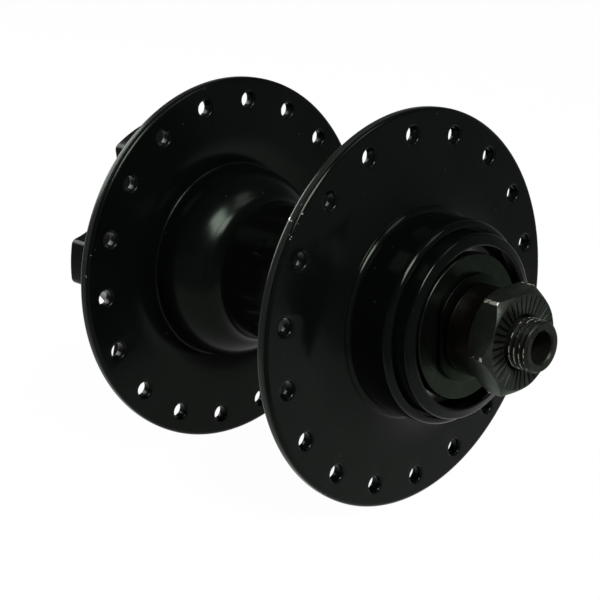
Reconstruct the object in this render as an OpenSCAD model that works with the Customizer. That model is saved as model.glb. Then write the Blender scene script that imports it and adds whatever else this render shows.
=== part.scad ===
// Front hub of a bicycle wheel, for a six-bolt disc brake and a quick-release fork.
// The axle lies along Y with the middle of the hub at the origin.
// The brake disc side is left, towards +Y, and the plain side is right, towards -Y.
// Every outward distance is measured along the axle from the middle of the hub.

/* [Fit in the fork] */
// Distance between the outer faces of the two locknuts
over_locknuts = 100; // [96:0.5:110]
// Length of the hollow axle
axle_len = 108; // [106:0.5:120]
// Outer diameter of the axle thread
axle_d = 9; // [8:0.1:10]
// Bore of the axle, for the quick-release rod
axle_bore_d = 5.6; // [5.2:0.1:6]
// Diameter of the unthreaded middle of the axle
axle_waist_d = 8; // [7:0.1:8.4]
// Depth of the thread
thread_depth = 0.5; // [0.3:0.05:0.6]
// How far the thread runs in past the cones
thread_run = 2; // [1:0.5:4]
// Chamfer on the ends of the axle
axle_chamfer = 0.6; // [0.3:0.1:0.8]

/* [Locknuts, spacers and washers] */
// Width of a locknut across its flats
nut_flats = 17; // [16:0.5:20]
// Height of a locknut
nut_height = 5; // [4:0.1:6]
// Chamfer that takes the corners off a locknut, along the axle
nut_chamfer = 1.2; // [0.5:0.1:1.4]
// Number of teeth on the face that grips the fork
nut_teeth = 36; // [24:1:40]
// Depth of the grooves between the teeth
tooth_depth = 0.45; // [0.2:0.05:0.6]
// Turn of the right locknut on its thread
nut_turn_right = 6.8; // [0:0.1:60]
// Turn of the left locknut on its thread
nut_turn_left = 21; // [0:0.1:60]
// Outer diameter of the spacers
spacer_d = 16; // [14:0.1:16.4]
// Length of the right spacer
spacer_len_right = 4.7; // [3:0.1:6]
// Length of the left spacer
spacer_len_left = 0.8; // [0.6:0.1:2]
// Outer diameter of the washers between cone and spacer
washer_d = 16; // [15:0.1:18]
// Thickness of the washers
washer_thick = 1; // [0.6:0.1:1.5]

/* [Bearings] */
// Diameter of a bearing ball
ball_d = 4.762; // [4:0.001:5]
// Number of balls on each side
ball_count = 10; // [8:1:11]
// Diameter of the circle through the ball centres
ball_circle_d = 19.2; // [18.4:0.1:20]
// Wall of a bearing cup
cup_wall = 2.5; // [1.5:0.1:2.8]
// Thickness of the floor of a bearing cup
cup_floor = 1.6; // [1:0.1:2.5]
// Distance from the ball centres out to the rim of the cup
cup_rim = 1.6; // [1:0.1:2]
// Distance from the ball centres in to the small end of the cone
cone_nose = 4.6; // [3.5:0.1:6]
// Distance from the ball centres out to the end of the cone
cone_reach = 6.9; // [6:0.1:8]
// Thickness of the collar on the cone that a spanner turns
collar_thick = 1; // [0.8:0.1:2]
// How far the collar stands out past the seat of the shield
collar_lip = 0.6; // [0.3:0.1:1]
// Width across the two spanner flats of the collar
collar_flats = 17; // [16:0.1:18]
// Thickness of the wall of a ball cage
cage_wall = 0.8; // [0.6:0.1:1]

/* [Dust covers] */
// Outer diameter of the dust caps pressed into the shell
cap_d = 33; // [32.4:0.1:33.2]
// Thickness of the sheet of the dust caps
cap_wall = 0.9; // [0.6:0.1:1.2]
// Distance from the ball centres out to the front of the dust cap
cap_reach = 6.8; // [6:0.1:7.4]
// Slope of the front of the dust cap, rising towards the axle
cap_slope = 20; // [5:1:30]
// Rounding of the outer edge of the dust cap
cap_round = 0.6; // [0.3:0.1:0.9]
// Outer diameter of the shield disc carried by the cone
shield_d = 26; // [24:0.1:27]
// Thickness of the shield disc
shield_thick = 1; // [0.6:0.1:1.2]
// Depth of the turned-in rim of the shield disc
shield_rim = 1; // [0.6:0.1:1.5]
// Gap between the shield disc and the opening of the dust cap
shield_gap = 1.3; // [0.6:0.1:1.6]

/* [Spoke flanges] */
// Outer diameter of the flanges
flange_d = 72.8; // [71:0.1:80]
// Thickness of the flanges
flange_thick = 2.4; // [2:0.1:3.2]
// Rounding of the rim of the flanges
rim_round = 0.9; // [0.4:0.1:0.95]
// Distance from the middle to the outer face of the right flange
flange_right = 25.8; // [25:0.1:27]
// Distance from the middle to the outer face of the left flange
flange_left = 24.8; // [24:0.1:26]
// Distance from the centre of a spoke hole out to the rim
spoke_margin = 4.4; // [4:0.1:5.5]
// Number of spoke holes in each flange
spoke_holes = 18; // [12:2:20]
// Diameter of a spoke hole
spoke_hole_d = 2.9; // [2.4:0.1:3.2]
// Diameter of the countersunk mouth of a spoke hole
spoke_mouth_d = 4; // [3.6:0.1:4.4]
// Depth of that countersink
spoke_mouth_deep = 0.5; // [0.3:0.05:0.7]
// Angle of the first spoke hole of the right flange, from +X towards +Z
spoke_turn_right = 12.5; // [0:0.5:20]
// Angle of the first spoke hole of the left flange
spoke_turn_left = 2.5; // [0:0.5:20]

/* [Barrel and bearing housing] */
// Diameter of the barrel at its waist
waist_d = 26.6; // [26:0.1:30]
// Radius of the hollow sweep from the barrel up to the right flange
cove_r = 8; // [6:0.1:12]
// Diameter of the bulge at the foot of the left flange
bulge_d = 38.4; // [37:0.2:40]
// Rounding of the bulge down towards the barrel
bulge_round = 9.5; // [8.5:0.1:10]
// Straight length of the bulge in front of the left flange
bulge_straight = 0.6; // [0.2:0.1:1]
// Radius of the hollow sweep between the barrel and the bulge
bulge_sweep_r = 4; // [3:0.1:6]
// Radius of the hollow at the foot of the bulge
bulge_foot_r = 0.4; // [0.3:0.1:1.6]
// Diameter of the tunnel through the shell
tunnel_d = 20; // [18:0.1:20.5]
// Outer diameter of the right bearing housing
housing_d = 36.6; // [36.2:0.1:38]
// Rounding of the end of the right bearing housing
housing_round = 1.2; // [0.6:0.1:1.3]
// Distance from the ball centres out to the end of the right housing
housing_reach = 3.6; // [3:0.1:4.2]
// Width of the dark groove round the right dust cap
groove_wide = 0.4; // [0.2:0.05:0.6]
// Depth of that groove
groove_deep = 1; // [0.5:0.1:1.2]
// Diameter of the raised ring where the right housing leaves the flange
ring_d = 38.8; // [38.8:0.1:41]
// Height of the raised ring over the flange face
ring_height = 2; // [1.6:0.1:2.4]
// Rounding of the raised ring
ring_round = 1; // [0.4:0.1:1]
// Outer diameter of the dished part of the flanges
dish_d = 53; // [48:0.1:56]
// Height of the dished part where it meets the raised ring or the bulge
dish_height = 1.2; // [0.6:0.1:1.5]

/* [Brake disc mount] */
// Distance from the outer face of the left locknut in to the disc face
disc_inset = 10.5; // [10:0.1:12]
// Diameter of the circle through the disc bolts
disc_bolt_circle_d = 44; // [43:0.1:45]
// Number of disc bolts and lugs
disc_bolts = 6; // [5:1:6]
// Diameter of the bolt holes, at the crests of their thread
disc_hole_d = 4.2; // [3.8:0.1:5]
// Depth of the bolt holes
disc_hole_deep = 11; // [8:0.5:13]
// Diameter over the tips of the lugs
lug_tip_d = 55.6; // [54:0.1:57]
// Radius of the hollow between two lugs
hollow_r = 13.6; // [13:0.1:14]
// Distance from the axle to the centre of that hollow
hollow_out = 35.1; // [35:0.1:36]
// Rounding of the corners of the lugs
lug_round = 1.4; // [0.5:0.1:1.8]
// Angle of the first lug, from +X towards +Z
lug_turn = 56.5; // [0:0.5:60]
// Diameter of the boss that centres the brake disc
register_d = 35; // [34.6:0.1:36]
// Height of that boss over the disc face
register_height = 2; // [1.5:0.1:2.5]

/* [Fits and smoothness] */
// Gap between a ball and its tracks
track_gap = 0.06; // [0.02:0.01:0.1]
// Gap all round a pressed-in piece
press_gap = 0.02; // [0.01:0.01:0.05]
// Gap between the axle and what is screwed or slid on it
thread_gap = 0.05; // [0.02:0.01:0.1]
// Gap between a ball and its cage
cage_gap = 0.1; // [0.05:0.01:0.2]
// Number of facets drawn round a circle
$fn = 96; // [48:8:144]

/* [Hidden] */

left = 1;
right = -1;
// How far a cutting tool runs past the face that it cuts
past = 1;

// Places along the axle, outward from the middle
nut_face = over_locknuts / 2;
nut_back = nut_face - nut_height;
spacer_back_left = nut_back - spacer_len_left;
spacer_back_right = nut_back - spacer_len_right;
cone_end_left = spacer_back_left - washer_thick;
cone_end_right = spacer_back_right - washer_thick;
balls_at_left = cone_end_left - cone_reach;
balls_at_right = cone_end_right - cone_reach;
housing_end = balls_at_right + housing_reach;
disc_face = nut_face - disc_inset;
register_end = disc_face + register_height;
flange_back_right = flange_right - flange_thick;
flange_back_left = flange_left - flange_thick;
bulge_at = flange_back_left - bulge_straight;

// Radii
axle_r = axle_d / 2;
slide_r = axle_r + thread_gap;
thread_r = axle_r - thread_depth / 2;
screwed_r = thread_r + thread_gap;
ball_r = ball_d / 2;
ball_circle_r = ball_circle_d / 2;
track_r = ball_r + track_gap;
cone_nose_r = ball_circle_r - track_r;
cone_seat_r = ball_circle_r - track_r / 4;
collar_r = cone_seat_r + collar_lip;
cup_in_r = ball_circle_r + track_r;
cup_r = cup_in_r + cup_wall;
cap_r = cap_d / 2;
shield_r = shield_d / 2;
cap_open_r = shield_r + shield_gap;
flange_r = flange_d / 2;
spoke_circle_r = flange_r - spoke_margin;
tunnel_r = tunnel_d / 2;
waist_r = waist_d / 2;
bulge_r = bulge_d / 2;
dish_r = dish_d / 2;
housing_r = housing_d / 2;
ring_r = ring_d / 2;
lug_tip_r = lug_tip_d / 2;

// Shell colours and steels as the photograph shows them
black_gloss = [0.05, 0.055, 0.055];
black_steel = [0.18, 0.18, 0.17];
brown_steel = [0.24, 0.21, 0.18];
grey_zinc = [0.42, 0.44, 0.42];
bright_steel = [0.70, 0.71, 0.72];
brass_cage = [0.55, 0.50, 0.40];

// Lays a shape drawn along Z out along the axle, to the left or to the right
module outward(side) {
    rotate([side == left ? -90 : 90, 0, 0]) children();
}

// Turns a shape drawn along Z, so that angles run from +X towards +Z on both sides
module turned(side, angle) {
    rotate([0, 0, -side * angle]) children();
}

// Turns a drawn half section into a solid of revolution
module lathe() {
    rotate_extrude() children();
}

// Rectangle of a half section, from radius a to b and from place c to d
module band(a, b, c, d) {
    translate([a, c]) square([b - a, d - c]);
}

// Half section of a disc from radius 0, with both outer edges rounded
module rounded_disc(r, c, d, round) {
    band(0, r - round, c, d);
    band(0, r, c + round, d - round);
    for (at = [c + round, d - round])
        translate([r - round, at]) circle(round);
}

// Half section of a disc from radius 0, with only its far outer edge rounded
module rounded_end(r, c, d, round) {
    band(0, r - round, c, d);
    band(0, r, c, d - round);
    intersection() {
        translate([r - round, d - round]) circle(round);
        band(0, r, c, d);
    }
}

// Ring of solid between two radii, from place c to d
module ring(outer, inner, c, d) {
    lathe() band(inner, outer, c, d);
}

// Plain barrel between the flanges, with a hollow sweep up to the right flange
module barrel_section() {
    centre_r = waist_r + cove_r;
    centre_at = cove_r - flange_back_right;
    difference() {
        band(0, centre_r, -flange_back_right - past, centre_at);
        translate([centre_r, centre_at]) circle(cove_r);
    }
    band(0, waist_r, centre_at, flange_back_left);
}

// Bulge in front of the left flange, with a hollow sweep down to the barrel
module bulge_section() {
    centre_r = bulge_r - bulge_round;
    sweep_r = waist_r + bulge_sweep_r;
    sweep_at = bulge_at - sqrt(pow(bulge_round + bulge_sweep_r, 2) - pow(sweep_r - centre_r, 2));
    difference() {
        polygon([[0, sweep_at], [sweep_r, sweep_at], [centre_r, bulge_at], [0, bulge_at]]);
        translate([sweep_r, sweep_at]) circle(bulge_sweep_r);
    }
    intersection() {
        translate([centre_r, bulge_at]) circle(bulge_round);
        band(0, bulge_r + past, sweep_at, bulge_at);
    }
    band(0, bulge_r, bulge_at, flange_left - past / 2);
}

// Left flange, dished on its inner face, with a hollow round the foot of the bulge. The
// hollow laps the dish by a hair, so that the two circles cross instead of just touching.
module left_flange_section() {
    span = dish_r - bulge_r;
    dish_sweep_r = (pow(span, 2) + pow(dish_height, 2)) / (2 * dish_height);
    lap = 0.02;
    both_r = dish_sweep_r + bulge_foot_r - lap;
    dish_at = flange_back_left + dish_sweep_r;
    foot_at = dish_at - sqrt(pow(both_r, 2) - pow(span - bulge_foot_r, 2));
    foot = [bulge_r + bulge_foot_r, foot_at];
    inside = foot + ([dish_r, dish_at] - foot) * (bulge_foot_r + past) / both_r;
    difference() {
        rounded_disc(flange_r, flange_back_left, flange_left, rim_round);
        difference() {
            band(0, dish_r, flange_back_left - past, flange_back_left + dish_height);
            translate([dish_r, dish_at]) circle(dish_sweep_r);
        }
    }
    difference() {
        polygon([[bulge_r - past, foot_at], foot, inside, [bulge_r - past, inside.y]]);
        translate(foot) circle(bulge_foot_r);
    }
}

// Right side outboard of the flange: dish, raised ring and bearing housing
module right_boss_section() {
    span = dish_r - ring_r;
    sweep_r = (pow(span, 2) + pow(dish_height, 2)) / (2 * dish_height);
    difference() {
        band(0, dish_r, flange_right - past, flange_right + dish_height);
        translate([dish_r, flange_right + sweep_r]) circle(sweep_r);
    }
    rounded_end(ring_r, flange_right - past, flange_right + ring_height, ring_round);
    rounded_end(housing_r, flange_right - past, housing_end, housing_round);
}

// Centre of the small circle that rounds one corner of a lug
lug_corner_out = lug_tip_r - lug_round;
lug_corner_reach = hollow_r + lug_round;
lug_half_step = 180 / disc_bolts;
lug_corner_angle = lug_half_step - acos((pow(lug_corner_out, 2) + pow(hollow_out, 2)
                   - pow(lug_corner_reach, 2)) / (2 * lug_corner_out * hollow_out));

// Outline of the lugs in the plane of the brake disc. The rounding stands proud by a hair,
// so that its circle crosses the neighbouring arcs instead of just touching them.
module lug_outline() {
    proud = 0.03;
    corner = lug_corner_out * [cos(lug_corner_angle), sin(lug_corner_angle)];
    hollow = hollow_out * [cos(lug_half_step), sin(lug_half_step)];
    on_tip = corner * lug_tip_r / lug_corner_out;
    on_hollow = corner + (hollow - corner) * lug_round / lug_corner_reach;
    beyond = lug_tip_r * 1.1 * [cos(lug_corner_angle * 1.3), sin(lug_corner_angle * 1.3)];
    difference() {
        circle(lug_tip_r);
        for (k = [0 : disc_bolts - 1])
            rotate((k + 0.5) * 360 / disc_bolts)
                translate([hollow_out, 0]) circle(hollow_r);
        for (k = [0 : disc_bolts - 1], flip = [0, 1])
            rotate(k * 360 / disc_bolts) mirror([0, flip])
                polygon([on_tip, beyond, on_hollow]);
    }
    for (k = [0 : disc_bolts - 1], flip = [0, 1])
        rotate(k * 360 / disc_bolts) mirror([0, flip])
            translate(corner) circle(lug_round + proud, $fn = 32);
}

// Half section of everything on the shell that is turned, drawn with the left side up
module shell_section() {
    barrel_section();
    bulge_section();
    left_flange_section();
    rounded_end(register_d / 2, flange_left - past, register_end, 0.4);
    mirror([0, 1]) {
        rounded_disc(flange_r, flange_back_right, flange_right, rim_round);
        right_boss_section();
    }
}

// Lugs that carry the brake disc, solid up to the left flange
module disc_lugs() {
    outward(left) turned(left, lug_turn)
        translate([0, 0, flange_left - past])
            linear_extrude(disc_face - flange_left + past) lug_outline();
}

// Threaded holes for the disc bolts, with a small countersink
module disc_bolt_cuts() {
    mouth = 0.4;
    outward(left) turned(left, lug_turn) for (k = [0 : disc_bolts - 1])
        rotate(k * 360 / disc_bolts) translate([disc_bolt_circle_d / 2, 0, 0]) {
            translate([0, 0, disc_face - disc_hole_deep])
                cylinder(h = disc_hole_deep + past, d = disc_hole_d, $fn = 32);
            translate([0, 0, disc_face - mouth])
                cylinder(h = 2 * mouth, d1 = disc_hole_d, d2 = disc_hole_d + 4 * mouth, $fn = 32);
        }
}

// Spoke holes of one flange, countersunk on both faces
module spoke_cuts(side, face, first) {
    back = face - flange_thick;
    deep = 2 * spoke_mouth_deep;
    wide_d = 2 * spoke_mouth_d - spoke_hole_d;
    outward(side) turned(side, first) for (k = [0 : spoke_holes - 1])
        rotate(k * 360 / spoke_holes) translate([spoke_circle_r, 0, 0]) {
            translate([0, 0, back - past])
                cylinder(h = flange_thick + 2 * past, d = spoke_hole_d, $fn = 32);
            translate([0, 0, face - spoke_mouth_deep])
                cylinder(h = deep, d1 = spoke_hole_d, d2 = wide_d, $fn = 32);
            translate([0, 0, back - spoke_mouth_deep])
                cylinder(h = deep, d1 = wide_d, d2 = spoke_hole_d, $fn = 32);
        }
}

// Bores of one end of the shell: seat of the cup, then seat of the dust cap
module bearing_seat(side, balls_at, end) {
    cup_back = balls_at - track_r - cup_floor;
    cup_front = balls_at + cup_rim;
    outward(side) {
        translate([0, 0, cup_back])
            cylinder(h = cup_front - cup_back, r = cup_r + press_gap);
        translate([0, 0, cup_front])
            cylinder(h = end - cup_front + past, r = cap_r + press_gap);
    }
}

module hub_shell() {
    color(black_gloss) difference() {
        union() {
            outward(left) lathe() shell_section();
            disc_lugs();
        }
        outward(left) translate([0, 0, -nut_face]) cylinder(h = 2 * nut_face, r = tunnel_r);
        bearing_seat(left, balls_at_left, register_end);
        bearing_seat(right, balls_at_right, housing_end);
        outward(right) translate([0, 0, housing_end - groove_deep])
            cylinder(h = groove_deep + past, r = cap_r + groove_wide);
        spoke_cuts(left, flange_left, spoke_turn_left);
        spoke_cuts(right, flange_right, spoke_turn_right);
        disc_bolt_cuts();
    }
}

// Pressed steel cup whose hollow track carries the balls from outside
module cup(side, balls_at) {
    back = balls_at - track_r - cup_floor;
    color(bright_steel) outward(side) lathe() difference() {
        band(tunnel_r - 1, cup_r, back, balls_at + cup_rim);
        translate([ball_circle_r, balls_at]) circle(track_r);
        band(0, cup_in_r, balls_at, balls_at + cup_rim + past);
        band(0, ball_circle_r, balls_at - track_r, balls_at + past);
    }
}

// Half section of a cap: straight side, rounded edge, front rising to its highest at the lip
module cap_outline(r, round, back, front) {
    edge_r = r - round + round * sin(cap_slope);
    edge_at = front - (edge_r - cap_open_r) * tan(cap_slope);
    centre_at = edge_at - round * cos(cap_slope);
    polygon([[0, back], [r, back], [r, centre_at], [edge_r, edge_at],
             [cap_open_r, front], [0, front]]);
    translate([r - round, centre_at]) circle(round);
}

// Sheet cap pressed into the mouth of the shell, turning with it
module dust_cap(side, balls_at) {
    back = balls_at + cup_rim;
    front = balls_at + cap_reach;
    color(black_gloss) outward(side) lathe() {
        difference() {
            cap_outline(cap_r, cap_round, back, front);
            cap_outline(cap_r - cap_wall, 0.01, back - past, front - cap_wall / cos(cap_slope));
            band(0, cap_open_r + cap_wall / 2, back - past, front + past);
        }
        translate([cap_open_r + cap_wall / 2, front - cap_wall / 2]) circle(cap_wall / 2);
    }
}

// Disc on the cone that stands still inside the opening of the dust cap
module shield(side, cone_end) {
    front = cone_end - collar_thick;
    color(grey_zinc) outward(side) {
        ring(shield_r, cone_seat_r + press_gap, front - shield_thick, front);
        ring(shield_r, shield_r - shield_thick, front - shield_thick - shield_rim, front);
    }
}

// Cone screwed on the axle: track for the balls, seat for the shield, collar with flats
module cone(side, balls_at, cone_end) {
    collar_back = cone_end - collar_thick;
    color(black_steel) outward(side) difference() {
        union() {
            lathe() difference() {
                band(screwed_r, cone_seat_r, balls_at - cone_nose, collar_back);
                translate([ball_circle_r, balls_at]) circle(track_r);
                band(cone_nose_r, cone_seat_r + past, balls_at - cone_nose - past, balls_at);
            }
            intersection() {
                ring(collar_r, screwed_r, collar_back, cone_end);
                translate([-collar_flats / 2, -collar_r, collar_back])
                    cube([collar_flats, 2 * collar_r, collar_thick]);
            }
        }
    }
}

// Flat washer between cone and spacer
module washer(side, cone_end) {
    color(black_steel) outward(side)
        ring(washer_d / 2, slide_r, cone_end, cone_end + washer_thick);
}

// Plain spacer that sets the distance from cone to locknut
module spacer(side, spacer_back) {
    color(brown_steel) outward(side)
        ring(spacer_d / 2, slide_r, spacer_back, nut_back);
}

// Half section that takes the corners off the nut and opens its bore
module nut_section() {
    corner_r = nut_flats / 2 / cos(30);
    flat_r = nut_flats / 2 - 0.1;
    polygon([[screwed_r, nut_back], [flat_r, nut_back], [corner_r, nut_back + nut_chamfer],
             [corner_r, nut_face - nut_chamfer], [flat_r, nut_face],
             [screwed_r + 0.7, nut_face], [screwed_r, nut_face - 0.7]]);
}

// Groove between two teeth, deepest near the axle and running out before the flats
module tooth_groove() {
    inner = screwed_r + 0.2;
    outer = nut_flats / 2 - 0.4;
    slope = atan(tooth_depth * 0.7 / (outer - inner));
    wide = PI * (inner + 0.8) / nut_teeth;
    translate([inner, 0, nut_face - tooth_depth]) rotate([0, -slope, 0])
        rotate([90, 0, 90]) linear_extrude(outer - inner)
            polygon([[0, 0], [wide, 2 * tooth_depth], [-wide, 2 * tooth_depth]]);
}

// Hexagonal locknut with a toothed outer face that grips the fork
module locknut(side, turn) {
    color(black_steel) outward(side) turned(side, turn) difference() {
        intersection() {
            translate([0, 0, nut_back])
                cylinder(h = nut_height, d = nut_flats / cos(30), $fn = 6);
            lathe() nut_section();
        }
        for (k = [0 : nut_teeth - 1]) rotate(k * 360 / nut_teeth) tooth_groove();
    }
}

// Hollow axle. Inside the nuts and cones the thread is drawn at its mean diameter, and the
// free ends, which the fork holds, at the diameter over its crests.
module axle() {
    end = axle_len / 2;
    thread_from = balls_at_right - cone_nose - thread_run;
    color(black_steel) difference() {
        union() {
            outward(left) lathe() band(0, axle_waist_d / 2, -end + past, end - past);
            for (side = [left, right]) outward(side) lathe()
                polygon([[0, thread_from], [thread_r, thread_from], [thread_r, nut_face],
                         [axle_r, nut_face], [axle_r, end - axle_chamfer],
                         [axle_r - axle_chamfer, end], [0, end]]);
        }
        outward(left) translate([0, 0, -end - past])
            cylinder(h = axle_len + 2 * past, d = axle_bore_d);
    }
}

// One row of bearing balls
module balls(side, balls_at) {
    color(bright_steel) outward(side) translate([0, 0, balls_at])
        for (k = [0 : ball_count - 1]) rotate(k * 360 / ball_count)
            translate([ball_circle_r, 0, 0]) sphere(ball_r);
}

// Cage that keeps the balls apart: a rail inside the row, with webs between the balls
module ball_cage(side, balls_at) {
    rail_in = cone_nose_r + 0.25;
    rail_out = rail_in + 1.1;
    rail_back = -track_r + 0.1;
    web_mid = ball_circle_r + 0.1;
    color(brass_cage) outward(side) translate([0, 0, balls_at]) difference() {
        lathe() polygon([[rail_in, rail_back], [rail_out, rail_back],
                         [web_mid + cage_wall, 0], [web_mid + cage_wall, cage_wall],
                         [web_mid - cage_wall, cage_wall], [web_mid - cage_wall, 0],
                         [rail_in, rail_back + cage_wall]]);
        for (k = [0 : ball_count - 1]) rotate(k * 360 / ball_count)
            translate([ball_circle_r, 0, 0]) sphere(ball_r + cage_gap);
    }
}

hub_shell();
cup(left, balls_at_left);  // cup_left
cup(right, balls_at_right);  // cup_right
dust_cap(left, balls_at_left);  // dust_cap_left
dust_cap(right, balls_at_right);  // dust_cap_right
axle();
cone(left, balls_at_left, cone_end_left);  // cone_left
cone(right, balls_at_right, cone_end_right);  // cone_right
shield(left, cone_end_left);  // shield_left
shield(right, cone_end_right);  // shield_right
washer(left, cone_end_left);  // washer_left
washer(right, cone_end_right);  // washer_right
spacer(left, spacer_back_left);  // spacer_left
spacer(right, spacer_back_right);  // spacer_right
locknut(left, nut_turn_left);  // locknut_left
locknut(right, nut_turn_right);  // locknut_right
balls(left, balls_at_left);  // balls_left
balls(right, balls_at_right);  // balls_right
ball_cage(left, balls_at_left);  // ball_cage_left
ball_cage(right, balls_at_right);  // ball_cage_right
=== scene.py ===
"""Looks of a disc brake front hub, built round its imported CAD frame. Sizes are in millimetres,
and in metres where a name ends in _m. The axle lies along Y, the brake disc side is +Y, and
Z is up."""
from cmath import phase, rect
from math import acos, ceil, cos, degrees, pi, radians, sin, sqrt, tan

import bmesh
import bpy
from mathutils import Matrix, Vector


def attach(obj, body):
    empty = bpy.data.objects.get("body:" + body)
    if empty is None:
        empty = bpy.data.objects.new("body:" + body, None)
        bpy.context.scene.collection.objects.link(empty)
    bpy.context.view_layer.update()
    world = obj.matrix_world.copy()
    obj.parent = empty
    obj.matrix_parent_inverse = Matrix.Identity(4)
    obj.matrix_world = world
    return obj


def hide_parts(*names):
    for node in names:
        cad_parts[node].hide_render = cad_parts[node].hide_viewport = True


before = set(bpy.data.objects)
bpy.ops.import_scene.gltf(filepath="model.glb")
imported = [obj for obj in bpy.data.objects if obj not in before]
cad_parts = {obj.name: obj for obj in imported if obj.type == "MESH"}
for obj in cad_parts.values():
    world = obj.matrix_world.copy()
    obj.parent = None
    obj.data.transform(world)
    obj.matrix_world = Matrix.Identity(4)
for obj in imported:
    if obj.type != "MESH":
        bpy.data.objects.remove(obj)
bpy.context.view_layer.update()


# Place in the picture
# The hub stands on the rims of its two flanges. The camera looks at the plain side from the
# front and a little above, as the picture was taken.
MM = 0.001
PICTURE_WIDE_PX, FOCAL_PX = 600, 1509.65
CAMERA_AT = (-193.47, -195.99, 80.24)
camera_right = Vector((0.718, -0.696, 0.0)).normalized()
camera_back = Vector((-0.666, -0.687, 0.291)).normalized()
camera_up = camera_back.cross(camera_right).normalized()
camera_right = camera_up.cross(camera_back)

camera = bpy.data.objects.new("camera", bpy.data.cameras.new("camera"))
bpy.context.collection.objects.link(camera)
camera.data.sensor_width = 36
camera.data.lens = FOCAL_PX / PICTURE_WIDE_PX * camera.data.sensor_width
camera.data.clip_start = 0.01
turn = Matrix((camera_right, camera_up, camera_back)).transposed().to_4x4()
camera.matrix_world = Matrix.Translation(Vector(CAMERA_AT) * MM) @ turn
bpy.context.scene.camera = camera
bpy.context.scene.view_settings.view_transform = "Standard"


# Studio
# A plain white floor in a dim room. A bright soft lamp stands beside the camera on the plain
# side, a weaker one further round, and a broad one lights the disc side from behind.
class Signal:
    """A shader socket that takes part in plain arithmetic."""

    def __init__(self, finish, socket):
        self.finish = finish
        self.socket = socket

    def maths(self, operation, *values):
        feeds = dict(enumerate(values))
        return self.finish.node("Math", {"operation": operation}, feeds)

    def __add__(self, other):
        return self.maths("ADD", self, other)

    def __radd__(self, other):
        return self.maths("ADD", other, self)

    def __sub__(self, other):
        return self.maths("SUBTRACT", self, other)

    def __rsub__(self, other):
        return self.maths("SUBTRACT", other, self)

    def __mul__(self, other):
        return self.maths("MULTIPLY", self, other)

    def __rmul__(self, other):
        return self.maths("MULTIPLY", other, self)

    def __gt__(self, other):
        return self.maths("GREATER_THAN", self, other)

    def __lt__(self, other):
        return self.maths("LESS_THAN", self, other)

    def __abs__(self):
        return self.maths("ABSOLUTE", self)


class Finish:
    """A material or world that is mixed from nodes by plain calls."""

    def __init__(self, name, owner=None):
        self.material = owner or bpy.data.materials.new(name)
        self.material.use_nodes = True
        self.tree = self.material.node_tree
        self.tree.nodes.clear()

    def node(self, kind, settings=None, feeds=None, out=0):
        made = self.tree.nodes.new("ShaderNode" + kind)
        for key, value in (settings or {}).items():
            if key == "stops":
                ramp = made.color_ramp.elements
                while len(ramp) < len(value):
                    ramp.new(1.0)
                for stop, (place, shade) in zip(ramp, value):
                    stop.position = place
                    stop.color = (shade, shade, shade, 1)
            else:
                setattr(made, key, value)
        for key, value in (feeds or {}).items():
            if isinstance(value, Signal):
                self.tree.links.new(value.socket, made.inputs[key])
            else:
                made.inputs[key].default_value = value
        return Signal(self, made.outputs[out]) if made.outputs else None


def fade(finish, value, start, stop, first, last, kind="SMOOTHSTEP"):
    """A number that goes from first to last while the value goes from start to stop."""
    return finish.node("MapRange", {"interpolation_type": kind},
                       {0: value, 1: start, 2: stop, 3: first, 4: last})


def seen_white(finish):
    """One for what the camera sees, directly or in metal or glass, and nought for other light."""
    direct, mirrored, through = [finish.node("LightPath", out=name) for name in
                                 ("Is Camera Ray", "Is Glossy Ray", "Is Transmission Ray")]
    return direct.maths("MAXIMUM", direct, mirrored.maths("MAXIMUM", mirrored, through))


# The paper shows white over a strip that widens ahead of the camera and grey elsewhere, so
# that the picture's ground is white while the gloss paint mirrors a dim room around it.
FLANGE_R = 36.4
FLOOR_WIDE_M, FLOOR_GAP_M = 40.0, 0.0002
SIGHT_X, SIGHT_Y, CAMERA_FOOT_M = 0.696, 0.718, 0.275
STRIP_WIDENS, STRIP_SIDE_M, STRIP_START_M = 0.22, (0.015, 0.15), (0.185, 0.212)
FAR_GREY, PAPER_SEEN = 0.34, 0.98
CEILING, WALLS_FROM, WALLS_TO = 0.11, 0.06, 0.46

bpy.ops.mesh.primitive_plane_add(size=FLOOR_WIDE_M, location=(0, 0, -FLANGE_R * MM - FLOOR_GAP_M))
floor = bpy.context.object
floor.name = "studio_floor"
paper = Finish("white_paper")
spot = paper.node("TexCoord", out="Object")
east, north = [paper.node("SeparateXYZ", None, {0: spot}, out=n) for n in range(2)]
ahead = east * SIGHT_X + north * SIGHT_Y + CAMERA_FOOT_M
across = abs(east * SIGHT_Y - north * SIGHT_X)
beside = fade(paper, across - ahead * STRIP_WIDENS, *STRIP_SIDE_M, 1.0, 0.0)
strip = beside * fade(paper, ahead, *STRIP_START_M, 0.0, 1.0)
tone = FAR_GREY + (1 - FAR_GREY) * strip
paper_matt = paper.node("BsdfDiffuse", None, {"Color": (0.86, 0.86, 0.85, 1.0)})
paper_white = paper.node("Emission", None, {"Color": (1, 1, 1, 1), "Strength": tone})
seen = seen_white(paper) * PAPER_SEEN
shown = paper.node("MixShader", None, {0: seen, 1: paper_matt, 2: paper_white})
paper.node("OutputMaterial", None, {"Surface": shown})
floor.data.materials.append(paper.material)

world = bpy.data.worlds.new("studio_room")
bpy.context.scene.world = world
room = Finish("studio_room", world)
look = room.node("TexCoord", out="Generated")
height = room.node("SeparateXYZ", None, {0: look}, out=2)
strength = fade(room, height, WALLS_FROM, WALLS_TO, FAR_GREY, CEILING)
walls = room.node("Background", None, {"Color": (1, 1, 1, 1), "Strength": strength})
room.node("OutputWorld", None, {"Surface": walls})


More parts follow.
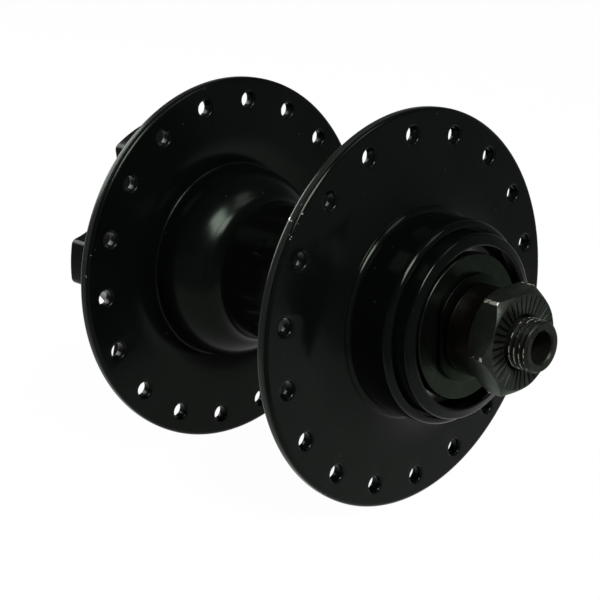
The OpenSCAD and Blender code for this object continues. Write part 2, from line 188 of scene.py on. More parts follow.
def soft_lamp(name, at_m, wide_m, long_m, brightness):
    """A lit panel that faces the hub, with its long side along the axle."""
    lamp = bpy.data.lights.new(name, "AREA")
    lamp.shape = "RECTANGLE"
    lamp.size = wide_m
    lamp.size_y = long_m
    lamp.energy = brightness * pi * wide_m * long_m
    holder = bpy.data.objects.new(name, lamp)
    bpy.context.collection.objects.link(holder)
    back = Vector(at_m).normalized()
    side = Vector((0, 1, 0)).cross(back).normalized()
    facing = Matrix((side, back.cross(side), back)).transposed().to_4x4()
    holder.matrix_world = Matrix.Translation(at_m) @ facing


soft_lamp("lamp_front", (-0.15, -0.47, 0.42), 0.22, 0.30, 34)
soft_lamp("lamp_back", (0.20, -0.41, 0.49), 0.18, 0.28, 5)
soft_lamp("lamp_behind", (-0.15, 0.70, 0.32), 0.45, 0.45, 10)


# Hub shell
# One forged and turned aluminium body: barrel, two drilled flanges, bearing housings and the
# six lugs for the brake disc. It is painted gloss black all over, and worn at the rims, where a
# lighter band along the edge is partly a painted highlight.
SEGMENTS, ARC_STEP, SHARP_ANGLE = 256, 6.0, 16
HOLD, WELD, OVERSHOOT = 0.05, 0.0005, 1.0
FLANGE_THICK, FLANGE_RIGHT, FLANGE_LEFT, RIM_ROUND = 2.4, 25.8, 24.8, 0.9
WAIST_R, COVE_R, TUNNEL_R = 13.3, 8.0, 10.0
BULGE_R, BULGE_ROUND, BULGE_STRAIGHT = 19.2, 9.5, 0.6
BULGE_SWEEP_R, BULGE_FOOT_R = 4.0, 0.4
DISH_R, DISH_HEIGHT, DISH_STEPS = 26.5, 1.2, 24
RING_R, RING_HEIGHT, RING_ROUND = 19.4, 2.0, 1.0
RING_FOOT_IN, RING_FOOT_UP, RING_FOOT_COVE = 0.02, 0.007, 0.18
SHOULDER_IN, SHOULDER_DOWN = 0.14, 0.42
HOUSING_R, HOUSING_END, HOUSING_ROUND = 18.3, 36.0, 1.2
GROOVE_WIDE, GROOVE_DEEP, GROOVE_ROUND = 0.4, 1.0, 0.12
REGISTER_R, REGISTER_END, REGISTER_ROUND, REGISTER_COVE = 17.5, 41.5, 0.4, 0.6
MOUTH_ROUND, DISC_FACE = 0.15, 39.5
BALLS_LEFT, BALLS_RIGHT, TRACK_R = 36.3, 32.4, 2.441
CUP_R, CUP_FLOOR, CUP_RIM = 14.541, 1.6, 1.6
CAP_R, PRESS_GAP = 16.5, 0.02
LUGS, LUG_TURN, LUG_TIP_R, LUG_ROUND = 6, 56.5, 27.8, 1.4
HOLLOW_OUT, HOLLOW_R = 35.1, 13.6
LUG_SUNK, LUG_EDGE, LUG_BORE_R = 1.0, 0.3, 17.0
SPOKE_CIRCLE_R, SPOKE_HOLES, SPOKE_TURN_RIGHT, SPOKE_TURN_LEFT = 32.0, 18, 12.5, 2.5
SPOKE_R, MOUTH_R, MOUTH_STEP, DRILL_WIDER, DRILL_LONGER = 1.45, 2.0, 9, 0.25, 0.8
BOLT_CIRCLE_R, BOLT_R, BOLT_DEEP, BOLT_SINK = 22.0, 2.1, 11.0, 0.4
BOLT_PITCH, BOLT_FLANK_SHARE, BOLT_GROOVE_DEEP = 0.8, 0.35, 0.36
BOLT_THREAD_FROM, BOLT_CUTTER_OVER = 0.6, 2.0
SPOKE_SEGMENTS, BOLT_SEGMENTS = 48, 40


def rounded(corners):
    """Outline through corners (a, b, rounding), with arcs at the corners and a point held just
    inside each straight side, so that flat faces stay flat in the gloss."""
    outline = []
    for k, (a, b, r) in enumerate(corners):
        here = Vector((a, b))
        if r <= 0:
            outline.append(here)
            continue
        to_last = Vector(corners[k - 1][:2]) - here
        to_next = Vector(corners[(k + 1) % len(corners)][:2]) - here
        u, v = to_last.normalized(), to_next.normalized()
        between = acos(max(-1, min(1, u.dot(v))))
        reach = r / tan(between / 2)
        middle = here + (u + v).normalized() * r / sin(between / 2)
        start, stop = here + u * reach, here + v * reach
        if to_last.length - reach > 4 * HOLD:
            outline.append(start + u * HOLD)
        swing = pi - between
        parts = max(2, ceil(degrees(swing) / ARC_STEP))
        one, two = start - middle, stop - middle
        for n in range(parts + 1):
            t = n / parts
            outline.append(middle + (one * sin((1 - t) * swing) + two * sin(t * swing)) / sin(swing))
        if to_next.length - reach > 4 * HOLD:
            outline.append(stop + v * HOLD)
    return outline


def smooth(mesh, sharp):
    """Smooth shading all over, apart from edges sharper than the angle."""
    mesh.polygons.foreach_set("use_smooth", [True] * len(mesh.polygons))
    mesh.set_sharp_from_angle(angle=radians(sharp))


def finished_mesh(name, bm, sharp=SHARP_ANGLE):
    """Object from bmesh work in millimetres, which is scaled to metres."""
    bmesh.ops.remove_doubles(bm, verts=bm.verts, dist=WELD)
    bmesh.ops.recalc_face_normals(bm, faces=bm.faces)
    bmesh.ops.scale(bm, vec=(MM, MM, MM), verts=bm.verts)
    mesh = bpy.data.meshes.new(name)
    bm.to_mesh(mesh)
    bm.free()
    smooth(mesh, sharp)
    piece = bpy.data.objects.new(name, mesh)
    bpy.context.collection.objects.link(piece)
    return piece


def with_changes(piece, sharp):
    """Makes a piece's modifiers final and shades it again."""
    bpy.context.view_layer.update()
    changed = piece.evaluated_get(bpy.context.evaluated_depsgraph_get())
    mesh = bpy.data.meshes.new_from_object(changed)
    piece.modifiers.clear()
    piece.data = mesh
    smooth(mesh, sharp)


def combine(piece, tool, operation):
    """Joins a tool to a piece or cuts it away, and drops the tool."""
    change = piece.modifiers.new("change", "BOOLEAN")
    change.operation = operation
    change.solver = "EXACT"
    change.object = tool
    with_changes(piece, SHARP_ANGLE)
    bpy.data.objects.remove(tool)


def join_rows(bm, one, two, shut=True):
    """Faces between two rows of points, which run round to their start when they are shut."""
    count = len(one)
    for k in range(count if shut else count - 1):
        j = (k + 1) % count
        bm.faces.new((one[k], one[j], two[j], two[k]))


def turn_outline(bm, outline, segments, centre=(0, 0), drill=False):
    """Turns an outline of (radius, place along Y) round a line along Y. The outline of a drill
    is open, and both of its ends get a lid."""
    rings = []
    for n in range(segments):
        angle = 2 * pi * (n + 0.5 * drill) / segments
        rings.append([bm.verts.new((centre[0] + r * cos(angle), y, centre[1] + r * sin(angle)))
                      for r, y in outline])
    for one, two in zip(rings, rings[1:] + rings[:1]):
        join_rows(bm, one, two, shut=not drill)
    if drill:
        bm.faces.new([ring[0] for ring in rings])
        bm.faces.new([ring[-1] for ring in rings[::-1]])


def around(radius, angle):
    """Point at an angle in degrees on a circle."""
    return radius * cos(radians(angle)), radius * sin(radians(angle))


def arc(middle, radius, start, stop, parts):
    """Points of an arc between two angles in radians, as complex numbers."""
    return [middle + rect(radius, start + (stop - start) * n / parts) for n in range(parts + 1)]


def dish_radius(span):
    """Radius of a dish that is level at its outer edge and rises by its height over the span."""
    return (span ** 2 + DISH_HEIGHT ** 2) / (2 * DISH_HEIGHT)


def bulge_outline(back):
    """From the dished inner face of the left flange over the bulge down to the barrel."""
    span = DISH_R - BULGE_R
    dish_r = dish_radius(span)
    dish = complex(DISH_R, back + dish_r)
    foot_down = sqrt((dish_r + BULGE_FOOT_R) ** 2 - (span - BULGE_FOOT_R) ** 2)
    foot = complex(BULGE_R + BULGE_FOOT_R, dish.imag - foot_down)
    to_dish = phase(dish - foot)
    bulge = complex(BULGE_R - BULGE_ROUND, back - BULGE_STRAIGHT)
    reach = BULGE_ROUND + BULGE_SWEEP_R
    lean = acos((WAIST_R + BULGE_SWEEP_R - bulge.real) / reach)
    line = arc(dish, dish_r, -pi / 2, to_dish - pi, 24)[:-1]
    line += arc(foot, BULGE_FOOT_R, to_dish, pi, 16)
    line += arc(bulge, BULGE_ROUND, 0, -lean, 48)
    line += arc(bulge + rect(reach, -lean), BULGE_SWEEP_R, pi - lean, pi, 24)[1:]
    return [(p.real, p.imag, 0) for p in line]


def ring_outline():
    """From the foot of the right flange's dish up the dish and over the edge of the ring."""
    span = DISH_R - RING_R
    dish_r = dish_radius(span)
    line = [(DISH_R + HOLD, -FLANGE_RIGHT, 0)]
    for n in range(DISH_STEPS):
        inward = span * n / DISH_STEPS
        rise = dish_r - sqrt(dish_r ** 2 - inward ** 2)
        line.append((DISH_R - inward, -(FLANGE_RIGHT + rise), 0))
    top = FLANGE_RIGHT + RING_HEIGHT
    line += [(RING_R - RING_FOOT_IN, -(FLANGE_RIGHT + DISH_HEIGHT + RING_FOOT_UP), RING_FOOT_COVE),
             (RING_R - SHOULDER_IN, -(top - SHOULDER_DOWN), 0)]
    for lean in (45, 60, 75, 90):
        out, up = around(RING_ROUND, lean)
        line.append((RING_R - RING_ROUND + out, -(top - RING_ROUND + up), 0))
    return line


def shell_outline():
    """Half section of the turned body, from the left mouth out and round to the right mouth."""
    cup_seat, cap_seat = CUP_R + PRESS_GAP, CAP_R + PRESS_GAP
    cup_left = BALLS_LEFT - TRACK_R - CUP_FLOOR
    cup_right = BALLS_RIGHT - TRACK_R - CUP_FLOOR
    back_left, back_right = FLANGE_LEFT - FLANGE_THICK, FLANGE_RIGHT - FLANGE_THICK
    corners = [
        (cap_seat, REGISTER_END, MOUTH_ROUND), (REGISTER_R, REGISTER_END, REGISTER_ROUND),
        (REGISTER_R, FLANGE_LEFT, REGISTER_COVE), (FLANGE_R, FLANGE_LEFT, RIM_ROUND),
        (FLANGE_R, back_left, RIM_ROUND)]
    corners += bulge_outline(back_left)
    corners += [
        (WAIST_R, -back_right, COVE_R), (FLANGE_R, -back_right, RIM_ROUND),
        (FLANGE_R, -FLANGE_RIGHT, RIM_ROUND)]
    corners += ring_outline()
    corners += [
        (HOUSING_R, -(FLANGE_RIGHT + RING_HEIGHT), 0), (HOUSING_R, -HOUSING_END, HOUSING_ROUND),
        (CAP_R + GROOVE_WIDE, -HOUSING_END, GROOVE_ROUND),
        (CAP_R + GROOVE_WIDE, -(HOUSING_END - GROOVE_DEEP), 0),
        (cap_seat, -(HOUSING_END - GROOVE_DEEP), 0),
        (cap_seat, -(BALLS_RIGHT + CUP_RIM), 0), (cup_seat, -(BALLS_RIGHT + CUP_RIM), 0),
        (cup_seat, -cup_right, 0), (TUNNEL_R, -cup_right, 0), (TUNNEL_R, cup_left, 0),
        (cup_seat, cup_left, 0), (cup_seat, BALLS_LEFT + CUP_RIM, 0),
        (cap_seat, BALLS_LEFT + CUP_RIM, 0)]
    return rounded(corners)


def lug_sector():
    """Outline of a lug and the hollow beside it, as complex numbers, from the middle of its tip
    to the middle of the next one. The second half is the mirror of the first."""
    half = pi / LUGS
    corner_out, corner_reach = LUG_TIP_R - LUG_ROUND, HOLLOW_R + LUG_ROUND
    lean = half - acos((corner_out ** 2 + HOLLOW_OUT ** 2 - corner_reach ** 2)
                       / (2 * corner_out * HOLLOW_OUT))
    corner, hollow = rect(corner_out, lean), rect(HOLLOW_OUT, half)
    hollow_start = phase(corner - hollow) % (2 * pi)
    line = arc(0, LUG_TIP_R, 0, lean, 6)[:-1]
    line += arc(corner, LUG_ROUND, lean, phase(hollow - corner), 9)
    line += arc(hollow, HOLLOW_R, hollow_start, half + pi, 24)[1:]
    return line + [p.conjugate() * rect(1, 2 * half) for p in line[-2:0:-1]]


def lug_block():
    """The six lugs, solid from the flange to the face that carries the brake disc, with a
    softened edge there and a bore that leaves the register's wall to the shell."""
    outline = []
    for k in range(LUGS):
        turn_by = rect(1, radians(LUG_TURN) + 2 * pi / LUGS * k)
        outline += [p * turn_by for p in lug_sector()]
    foot = FLANGE_LEFT - LUG_SUNK
    bm = bmesh.new()
    rings = []
    for place, shrink in ((foot, 0), (DISC_FACE - LUG_EDGE, 0),
                          (DISC_FACE - 0.4 * LUG_EDGE, 0.25 * LUG_EDGE), (DISC_FACE, LUG_EDGE)):
        ring = []
        for k, here in enumerate(outline):
            along = outline[(k + 1) % len(outline)] - outline[k - 1]
            moved = here + 1j * along / abs(along) * shrink
            ring.append(bm.verts.new((moved.real, place, moved.imag)))
        rings.append(ring)
    for one, two in zip(rings, rings[1:]):
        join_rows(bm, one, two)
    bm.faces.new(rings[0])
    bm.faces.new(rings[-1][::-1])
    block = finished_mesh("lug_block", bm)
    bm = bmesh.new()
    bore = [(LUG_BORE_R, foot - OVERSHOOT), (LUG_BORE_R, DISC_FACE + OVERSHOOT)]
    turn_outline(bm, bore, SEGMENTS // 2, drill=True)
    combine(block, finished_mesh("lug_bore", bm), "DIFFERENCE")
    return block


def spoke_drill(face, sign):
    """Outline of the drill for one flange. A quarter round widens the hole at both mouths."""
    bend = MOUTH_R - SPOKE_R
    mouth = [(MOUTH_R + DRILL_WIDER, DRILL_LONGER), (MOUTH_R + DRILL_WIDER, HOLD)]
    for lean in range(0, 90, MOUTH_STEP):
        up, inward = around(bend, lean)
        mouth.append((MOUTH_R - inward, up - bend))
    front = [(r, sign * (face + y)) for r, y in mouth]
    return front + [(r, sign * (face - FLANGE_THICK - y)) for r, y in mouth[::-1]]


def bolt_tap():
    """Outline of the cutter for a disc bolt's hole: a countersink, then grooves for a thread."""
    line = []
    for over in (BOLT_CUTTER_OVER, -BOLT_SINK):
        line.append((BOLT_R + BOLT_SINK + over, DISC_FACE + over))
    place = DISC_FACE - BOLT_THREAD_FROM
    flank = BOLT_FLANK_SHARE * BOLT_PITCH
    while place > DISC_FACE - BOLT_DEEP + BOLT_PITCH:
        line += [(BOLT_R, place), (BOLT_R + BOLT_GROOVE_DEEP, place - flank), (BOLT_R, place - 2 * flank)]
        place -= BOLT_PITCH
    return line + [(BOLT_R, DISC_FACE - BOLT_DEEP)]


bm = bmesh.new()
turn_outline(bm, shell_outline(), SEGMENTS)
shell = finished_mesh("shell", bm)
combine(shell, lug_block(), "UNION")

drills = bmesh.new()
for face, turn_by, sign in ((FLANGE_RIGHT, SPOKE_TURN_RIGHT, -1), (FLANGE_LEFT, SPOKE_TURN_LEFT, 1)):
    for k in range(SPOKE_HOLES):
        centre = around(SPOKE_CIRCLE_R, turn_by + 360 / SPOKE_HOLES * k)
        turn_outline(drills, spoke_drill(face, sign), SPOKE_SEGMENTS, centre, drill=True)
for k in range(LUGS):
    centre = around(BOLT_CIRCLE_R, LUG_TURN + 360 / LUGS * k)
    turn_outline(drills, bolt_tap(), BOLT_SEGMENTS, centre, drill=True)
combine(shell, finished_mesh("drills", drills), "DIFFERENCE")

GLOSS_LEVEL, GREENISH = 0.072, (0.84, 1.0, 0.84, 1.0)
NOWHERE = 9000.0
CHIPS_FROM, THIN_PAINT_AND_HIGHLIGHT_FROM = 35.7, 0.6
SPECK_SIZE, DUSTY_ABOVE, CHIP_ABOVE, CHIPPED_PATCH_ABOVE = 0.075, 0.60, 0.66, 0.57
# The dust's grey also colours the lighter band at the rim's edge, which is partly a painted highlight.
DUST_AND_HIGHLIGHT_GREY, BARE_ALUMINIUM = (0.05, 0.054, 0.05, 1), (0.42, 0.43, 0.42, 1)


def noise(finish, place, scale, detail):
    """Cloudy noise over a surface, finer with a greater scale."""
    return finish.node("TexNoise", None, {"Vector": place, "Scale": scale, "Detail": detail})


def blend(finish, share, one, two):
    """Colour one, which gives way to colour two as the share rises."""
    return finish.node("MixRGB", None, {0: share, 1: one, 2: two})


def places_on(finish):
    """Place on a piece in metres, then its place along the axle, radius and angle round it."""
    place = finish.node("TexCoord", out="Object")
    x, y, z = [finish.node("SeparateXYZ", None, {0: place}, out=n) for n in range(3)]
    return place, y, x.maths("SQRT", x * x + z * z), x.maths("ARCTAN2", z, x)


def ring_marks(finish, fine, length, detail):
    """Fine noise drawn out round the axle, as polishing and turning leave it."""
    _, along, radius, angle = places_on(finish)
    drawn_out = finish.node("CombineXYZ", None, {0: radius * fine, 1: angle * length, 2: along * fine})
    return noise(finish, drawn_out, 1.0, detail)


def painted(name, chips_from):
    """Gloss black paint: faint orange peel, polishing streaks, dust, and chips and thin paint beyond
    the radius chips_from. The lighter band of thin paint at the rim's edge is partly a painted
    highlight. On the disc side the gloss is a little duller."""
    paint = Finish(name)
    place, along, radius, _ = places_on(paint)
    streaks = ring_marks(paint, 2600.0, 1.6, 3.0)
    clouds = noise(paint, place, 55.0, 4.0)
    peel = noise(paint, place, 700.0, 2.0)
    lumps = noise(paint, place, 130.0, 1.0)
    specks = paint.node("TexVoronoi", {"feature": "F1"}, {"Vector": place, "Scale": 420.0})
    dust = (specks < SPECK_SIZE) * (noise(paint, place, 300.0, 0.0) > DUSTY_ABOVE)
    patches = noise(paint, place, 38.0, 2.0) > CHIPPED_PATCH_ABOVE
    chips = (radius > chips_from * MM) * (noise(paint, place, 1500.0, 5.0) > CHIP_ABOVE) * patches
    # Painted highlight: a lighter, slightly metallic streaky band along the rim's edge. It is partly worn
    # thin paint and partly stands in for the rim's highlight line.
    thin_paint_and_highlight = (radius > (chips_from + THIN_PAINT_AND_HIGHLIGHT_FROM) * MM) * streaks
    black = blend(paint, clouds, (0.0005, 0.0007, 0.0006, 1), (0.0015, 0.0020, 0.0017, 1))
    dusty = blend(paint, dust * 0.15, black, DUST_AND_HIGHLIGHT_GREY)
    highlit_edge = blend(paint, thin_paint_and_highlight * 0.35, dusty, DUST_AND_HIGHLIGHT_GREY)
    colour = blend(paint, chips, highlit_edge, BARE_ALUMINIUM)
    duller = fade(paint, along, 0.0, 0.014, 0.0, 0.08, "LINEAR")
    rough = 0.07 + duller + 0.07 * clouds + 0.06 * streaks + 0.10 * dust + 0.2 * chips
    height = peel * 0.5 + lumps * 0.9 + dust * 0.2 - chips * 2.0 + streaks * 0.25
    bump = paint.node("Bump", None, {"Height": height, "Strength": 0.07, "Distance": 0.0001})
    surface = paint.node("BsdfPrincipled", None, {
        "Base Color": colour, "Roughness": rough, "Metallic": chips * 0.9 + thin_paint_and_highlight * 0.3,
        "Specular IOR Level": GLOSS_LEVEL, "Specular Tint": GREENISH, "Normal": bump})
    paint.node("OutputMaterial", None, {"Surface": surface})
    return paint.material


def fit_piece(piece, body, material, node):
    """Dresses a piece, hangs it on its body and lets it stand for its CAD node."""
    piece.data.materials.clear()
    piece.data.materials.append(material)
    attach(piece, body)
    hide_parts(node)


shell_paint = painted("gloss_black_shell_paint", CHIPS_FROM)
fit_piece(shell, "hub", shell_paint, "hub_shell")


# Dust caps
# Pressed sheet caps, painted like the shell and pushed into each mouth. The front rises a
# little towards the axle and ends in a rounded lip.
CAP_WALL, CAP_REACH, CAP_SLOPE, CAP_OPEN_R = 0.9, 6.8, 20.0, 14.3
CAP_ROUND, CAP_BEND, CAP_INNER_BEND, CAP_LIP_ROUND, CAP_EDGE = 0.6, 0.3, 0.2, 0.42, 0.1
BEND_FROM_LIP, INNER_FROM_LIP, LIP_BACK = 0.2, 0.3, 0.05
cap_paint = painted("gloss_black_cap_paint", NOWHERE)


def turned_piece(name, corners, sign, segments=192):
    """Piece turned from corners (radius, place, rounding), whose places lie on the sign's side."""
    bm = bmesh.new()
    turn_outline(bm, [(r, sign * y) for r, y in rounded(corners)], segments)
    return finished_mesh(name, bm)


def dust_cap(name, balls_at, sign):
    back, front = balls_at + CUP_RIM, balls_at + CAP_REACH
    slope = tan(radians(CAP_SLOPE))
    lip = CAP_OPEN_R + CAP_WALL / 2
    edge = front - (CAP_R - lip) * slope
    inside = CAP_WALL / cos(radians(CAP_SLOPE))
    inner_r = CAP_R - CAP_WALL
    corners = [(CAP_R, back, CAP_EDGE), (CAP_R, edge, CAP_ROUND),
               (lip + BEND_FROM_LIP, front - BEND_FROM_LIP * slope, CAP_BEND),
               (CAP_OPEN_R, front - LIP_BACK, CAP_LIP_ROUND),
               (CAP_OPEN_R, front - CAP_WALL, CAP_LIP_ROUND),
               (lip + INNER_FROM_LIP, front - inside - LIP_BACK, 0),
               (inner_r, edge - inside + CAP_WALL * slope, CAP_INNER_BEND), (inner_r, back, CAP_EDGE)]
    return turned_piece(name, corners, sign, SEGMENTS)


for side, sign, balls_at in (("left", 1, BALLS_LEFT), ("right", -1, BALLS_RIGHT)):
    cap = dust_cap("cap_" + side, balls_at, sign)
    fit_piece(cap, "hub", cap_paint, "dust_cap_" + side)


# Shield discs
# Dull grey plated discs pressed on the cones. They stand still inside the opening of the
# dust caps and keep dirt out of the bearings.
NUT_FACE, NUT_HEIGHT = 50.0, 5.0
NUT_BACK = NUT_FACE - NUT_HEIGHT
WASHER_THICK, COLLAR_THICK, SPACER_THICK_LEFT, SPACER_THICK_RIGHT = 1.0, 1.0, 0.8, 4.7
SPACER_LEFT, SPACER_RIGHT = NUT_BACK - SPACER_THICK_LEFT, NUT_BACK - SPACER_THICK_RIGHT
CONE_END_LEFT, CONE_END_RIGHT = SPACER_LEFT - WASHER_THICK, SPACER_RIGHT - WASHER_THICK
BALL_CIRCLE_R = 9.6
CONE_SEAT_R = BALL_CIRCLE_R - TRACK_R / 4
SHIELD_R, SHIELD_THICK, SHIELD_RIM = 13.0, 1.0, 1.0
SHIELD_ROUND, SHIELD_INNER_ROUND, SHIELD_EDGE, SHIELD_BORE_EDGE = 0.35, 0.2, 0.08, 0.05
SCRATCHED_ABOVE, BARE_PIT_ABOVE, BARE_PATCH_ABOVE = 0.73, 0.50, 0.42
RUBBED_STOPS = [(0.50, 0.0), (0.72, 1.0)]


def tinted(colour, share, lift=0.0):
    """Colour made brighter or darker, and opaque."""
    return [min(1, c * share + lift) for c in colour] + [1]


def dark_steel(name, colour, rough, wear, turning, grain, sheen=0.5, bare_from=NOWHERE, shade_at=None):
    """Blackened or plated steel with turning marks, fine pits, rubbed patches and scratches.
    Beyond the radius bare_from the finish is chipped down to bare metal. The last argument is a
    function that says, from the place along the axle, the radius and the angle, where painted
    shade darkens the colour."""
    steel = Finish(name)
    place, along, radius, angle = places_on(steel)
    marks = ring_marks(steel, 9000.0, 2.0, 2.0)
    pits = noise(steel, place, grain, 5.0)
    patches = noise(steel, place, 210.0, 4.0)
    stretch = steel.node("Mapping", None, {"Vector": place, "Rotation": (0.6, 0.9, 0.3),
                                           "Scale": (3600.0, 260.0, 2400.0)})
    scratches = noise(steel, stretch, 1.0, 2.0) > SCRATCHED_ABOVE
    rubbed = steel.node("ValToRGB", {"stops": RUBBED_STOPS}, {0: patches}) * wear
    chipped = (radius > bare_from * MM) * (pits > BARE_PIT_ABOVE) * (patches > BARE_PATCH_ABOVE)
    bare = steel.node("Math", {"operation": "MAXIMUM"}, {0: scratches * 0.10 * wear, 1: chipped})
    base = blend(steel, pits, tinted(colour, 0.55), tinted(colour, 1.6))
    shade = blend(steel, rubbed, base, tinted(colour, 2.4, 0.004))
    shade = blend(steel, bare, shade, (0.20, 0.195, 0.17, 1))
    # Painted shade: the grooves that the given function picks out are darkened nearly to black.
    if shade_at:
        shade = blend(steel, shade_at(along, radius, angle) * 0.85, shade, (0.0012, 0.0013, 0.0011, 1))
    roughness = rough + 0.18 * pits - 0.12 * rubbed - 0.1 * scratches
    height = pits * 0.7 + marks * turning - scratches * 0.5
    bump = steel.node("Bump", None, {"Height": height, "Strength": 0.35, "Distance": 0.00006})
    surface = steel.node("BsdfPrincipled", None, {
        "Base Color": shade, "Roughness": roughness, "Metallic": sheen,
        "Specular IOR Level": 0.10, "Specular Tint": GREENISH, "Normal": bump})
    steel.node("OutputMaterial", None, {"Surface": surface})
    return steel.material


def shield(name, cone_end, sign):
    front = cone_end - COLLAR_THICK
    back = front - SHIELD_THICK
    inner, wall = CONE_SEAT_R + PRESS_GAP, SHIELD_R - SHIELD_THICK
    corners = [(inner, front, SHIELD_BORE_EDGE), (SHIELD_R, front, SHIELD_ROUND),
               (SHIELD_R, back - SHIELD_RIM, SHIELD_EDGE), (wall, back - SHIELD_RIM, SHIELD_EDGE),
               (wall, back, SHIELD_INNER_ROUND), (inner, back, SHIELD_BORE_EDGE)]
    return turned_piece(name, corners, sign)


shield_steel = dark_steel("dull_grey_plate", (0.0085, 0.0100, 0.0080), rough=0.15, wear=0.3,
                          turning=0.5, grain=1400.0, sheen=0.9)
for side, sign, cone_end in (("left", 1, CONE_END_LEFT), ("right", -1, CONE_END_RIGHT)):
    disc = shield("shield_disc_" + side, cone_end, sign)
    fit_piece(disc, "axle_group", shield_steel, "shield_" + side)


# Cones
# Hardened cones screwed on the axle, turned from steel and blackened. Their collars have two
# flats for a thin spanner.
CAD_WELD, FLAT_ANGLE, EDGE_ANGLE, SOFTENED_SHARP = 0.002, 0.5, 28, 38
CONE_EDGE = 0.12


def softened(name, node, edge):
    """A piece with the form of its CAD node and every sharp edge broken by a small round."""
    bm = bmesh.new()
    bm.from_mesh(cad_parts[node].data)
    bmesh.ops.scale(bm, vec=(1 / MM, 1 / MM, 1 / MM), verts=bm.verts)
    bmesh.ops.remove_doubles(bm, verts=bm.verts, dist=CAD_WELD)
    bmesh.ops.dissolve_limit(bm, angle_limit=radians(FLAT_ANGLE), verts=bm.verts, edges=bm.edges)
    piece = finished_mesh(name, bm, SOFTENED_SHARP)
    bevel = piece.modifiers.new("edge", "BEVEL")
    bevel.width = edge * MM
    bevel.segments = 2
    bevel.limit_method = "ANGLE"
    bevel.angle_limit = radians(EDGE_ANGLE)
    bevel.harden_normals = False
    bevel.use_clamp_overlap = True
    with_changes(piece, SOFTENED_SHARP)
    return piece


cone_steel = dark_steel("blackened_cone_steel", (0.0020, 0.0024, 0.0019), rough=0.28, wear=0.25,
                        turning=0.8, grain=1000.0, sheen=0.9)
for side in ("left", "right"):
    cone = softened("cone_body_" + side, "cone_" + side, CONE_EDGE)
    fit_piece(cone, "axle_group", cone_steel, "cone_" + side)


# Washers and spacers
# Plain turned steel rings between each cone and its locknut. The spacer on the plain side is
# the long one, browned and scratched.
SCREWED_R, RING_OUT_R, BORE_EDGE, WASHER_EDGE, SPACER_EDGE = 4.55, 8.0, 0.1, 0.2, 0.15
washer_steel = dark_steel("blackened_washer_steel", (0.0020, 0.0024, 0.0019), rough=0.28, wear=0.25,
                          turning=0.9, grain=1200.0, sheen=0.9)
spacer_steel = dark_steel("browned_spacer_steel", (0.0028, 0.0022, 0.0018), rough=0.26, wear=0.9,
                          turning=0.5, grain=900.0, sheen=0.6)


def plain_ring(name, start, stop, sign, edge):
    corners = [(SCREWED_R, stop, BORE_EDGE), (RING_OUT_R, stop, edge), (RING_OUT_R, start, edge),
               (SCREWED_R, start, BORE_EDGE)]
    return turned_piece(name, corners, sign)


for side, sign, spacer_from in (("left", 1, SPACER_LEFT), ("right", -1, SPACER_RIGHT)):
    washer = plain_ring("washer_ring_" + side, spacer_from - WASHER_THICK, spacer_from, sign, WASHER_EDGE)
    fit_piece(washer, "axle_group", washer_steel, "washer_" + side)
    spacer = plain_ring("spacer_ring_" + side, spacer_from, NUT_BACK, sign, SPACER_EDGE)
    fit_piece(spacer, "axle_group", spacer_steel, "spacer_" + side)


# Locknuts
# Hexagonal steel nuts, their outer faces cut with fine teeth that bite into the fork. The
# black oxide is chipped at the corners, and the grooves between the teeth are darkened with
# painted shade.
NUT_TEETH, TEETH_R, GROOVE_FROM, NUT_EDGE, NUT_BARE_FROM = 36, 8.1, 0.30, 0.10, 9.6
NUT_TURN_RIGHT, NUT_TURN_LEFT = 6.8, 21.0


def groove_shade(along, radius, angle):
    """One in the grooves between the teeth, where the colour is darkened as painted shade. A groove
    starts at that share of a pitch from a tooth's middle.
    """
    first = radians(NUT_TURN_RIGHT) + (along > 0.0) * radians(NUT_TURN_LEFT - NUT_TURN_RIGHT)
    pitches = (angle - first) * (NUT_TEETH / (2 * pi))
    share = pitches.maths("FRACT", pitches)
    return (abs(share - 0.5) > GROOVE_FROM) * (radius < TEETH_R * MM)


nut_steel = dark_steel("black_nut_steel", (0.0062, 0.0071, 0.0059), rough=0.24, wear=0.6,
                       turning=0.2, grain=800.0, sheen=0.4, bare_from=NUT_BARE_FROM, shade_at=groove_shade)
for side in ("left", "right"):
    nut = softened("nut_" + side, "locknut_" + side, NUT_EDGE)
    fit_piece(nut, "axle_group", nut_steel, "locknut_" + side)


# Axle
# A hollow steel axle with a fine thread on both ends, open right through for the rod of a
# quick-release lever. The thread crests are rubbed bright.
AXLE_R, AXLE_END, BORE_R, AXLE_CHAMFER, BORE_CHAMFER = 4.5, 54.0, 2.8, 0.35, 0.3
PITCH, THREAD_DEEP, ROOT_SHARE, FLANK_SHARE = 1.0, 0.5, 0.22, 0.62
THREAD_FROM, THREAD_R, THREAD_STEPS, AXLE_SEGMENTS = 50.0, 4.25, 96, 144
AXLE_WAIST_R, AXLE_WAIST_END, WAIST_TAPER, THREAD_GAP = 4.0, 25.8, 0.3, 0.02
AXLE_SHARP, AXLE_BARE_FROM = 34, 4.46


def thread_radius(place, angle, sign):
    """Radius of the threaded end at a place along it and an angle, chamfered at its tip."""
    turn_share = (place / PITCH - sign * angle / (2 * pi)) % 1.0
    rise = min(1, max(0, (abs(2 * turn_share - 1) - ROOT_SHARE) / FLANK_SHARE))
    radius = AXLE_R - THREAD_DEEP + THREAD_DEEP * rise
    return min(radius, AXLE_R - AXLE_CHAMFER + (AXLE_END - place))


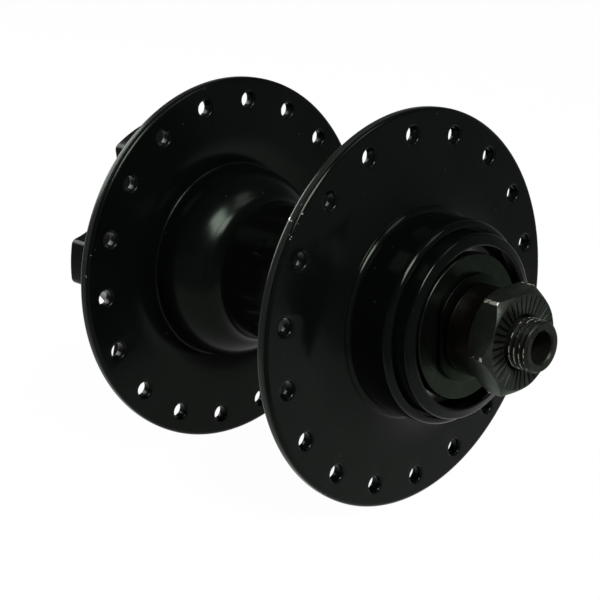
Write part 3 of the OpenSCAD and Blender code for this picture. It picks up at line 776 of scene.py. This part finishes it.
def half_axle(angle, sign):
    """Outline of one half of the axle at an angle, from its waist over the thread to its bore."""
    line = [(AXLE_WAIST_R, AXLE_WAIST_END - WAIST_TAPER), (THREAD_R, AXLE_WAIST_END),
            (THREAD_R, THREAD_FROM - THREAD_GAP)]
    for n in range(THREAD_STEPS + 1):
        place = THREAD_FROM + (AXLE_END - THREAD_FROM) * n / THREAD_STEPS
        line.append((thread_radius(place, angle, sign), place))
    line += [(BORE_R + BORE_CHAMFER, AXLE_END), (BORE_R, AXLE_END - BORE_CHAMFER)]
    return [(r, sign * place) for r, place in line]


def axle_tube():
    bm = bmesh.new()
    rings = []
    for n in range(AXLE_SEGMENTS):
        angle = 2 * pi * n / AXLE_SEGMENTS
        line = half_axle(angle, -1)[::-1] + half_axle(angle, 1)
        rings.append([bm.verts.new((r * cos(angle), y, r * sin(angle))) for r, y in line])
    for one, two in zip(rings, rings[1:] + rings[:1]):
        join_rows(bm, one, two)
    return finished_mesh("axle_tube", bm, AXLE_SHARP)


axle_steel = dark_steel("black_axle_steel", (0.0060, 0.0065, 0.0053), rough=0.26, wear=0.5,
                        turning=0.2, grain=1100.0, bare_from=AXLE_BARE_FROM)
fit_piece(axle_tube(), "axle_group", axle_steel, "axle")


# Bearings
# Cups, balls and stamped cages inside the shell keep their CAD forms. The bearing steel is
# ground or polished and greased, and the cages are yellow plated.
def bright_steel(name, colour, rough, marks_deep):
    """Ground or polished bearing steel with a thin film of grease."""
    steel = Finish(name)
    place = steel.node("TexCoord", out="Object")
    film = noise(steel, place, 260.0, 4.0)
    fine = noise(steel, place, 2600.0, 3.0)
    shade = blend(steel, film, tinted(colour, 1.0), tinted(colour, 0.72))
    bump = steel.node("Bump", None, {
        "Height": fine + film * 0.5, "Strength": marks_deep, "Distance": 0.00004})
    surface = steel.node("BsdfPrincipled", None, {
        "Base Color": shade, "Roughness": rough + 0.16 * film, "Metallic": 1.0, "Normal": bump})
    steel.node("OutputMaterial", None, {"Surface": surface})
    return steel.material


cup_steel = bright_steel("ground_cup_steel", (0.60, 0.60, 0.59), rough=0.22, marks_deep=0.2)
ball_steel = bright_steel("polished_ball_steel", (0.74, 0.75, 0.76), rough=0.06, marks_deep=0.03)
cage_steel = bright_steel("plated_cage_steel", (0.50, 0.44, 0.30), rough=0.30, marks_deep=0.3)
for group, material in (("cup", cup_steel), ("balls", ball_steel), ("ball_cage", cage_steel)):
    for side in ("left", "right"):
        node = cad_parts[group + "_" + side]
        node.data.materials.clear()
        node.data.materials.append(material)
